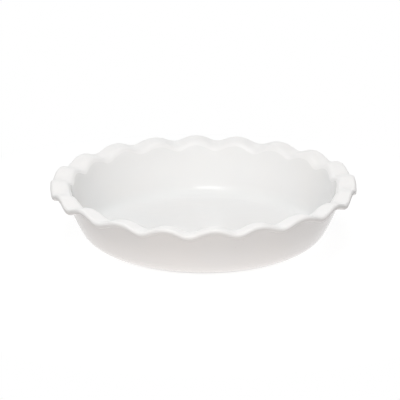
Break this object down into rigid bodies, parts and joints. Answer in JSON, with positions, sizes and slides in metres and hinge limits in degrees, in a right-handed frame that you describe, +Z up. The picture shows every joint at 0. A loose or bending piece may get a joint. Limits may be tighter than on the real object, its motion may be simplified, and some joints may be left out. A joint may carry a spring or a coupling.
{
  "type": "pie dish",
  "caption": "Round white glazed stoneware pie dish with a leaning wall, a ruffled lip and a bare foot ring.",
  "frame": {"origin": "on the table, under the centre of the foot ring", "axes": "+Z up along the dish's axis of symmetry, +X towards the crest of one wave"},
  "size_m": [0.276, 0.276, 0.0569],
  "materials": {
    "white_glaze": "gloss",
    "bare_stoneware": "matte"
  },
  "bodies": {
    "root": {"clay_body": "bare_stoneware", "glaze_coat": "white_glaze", "underside_glaze": "white_glaze"}
  },
  "joints": []
}
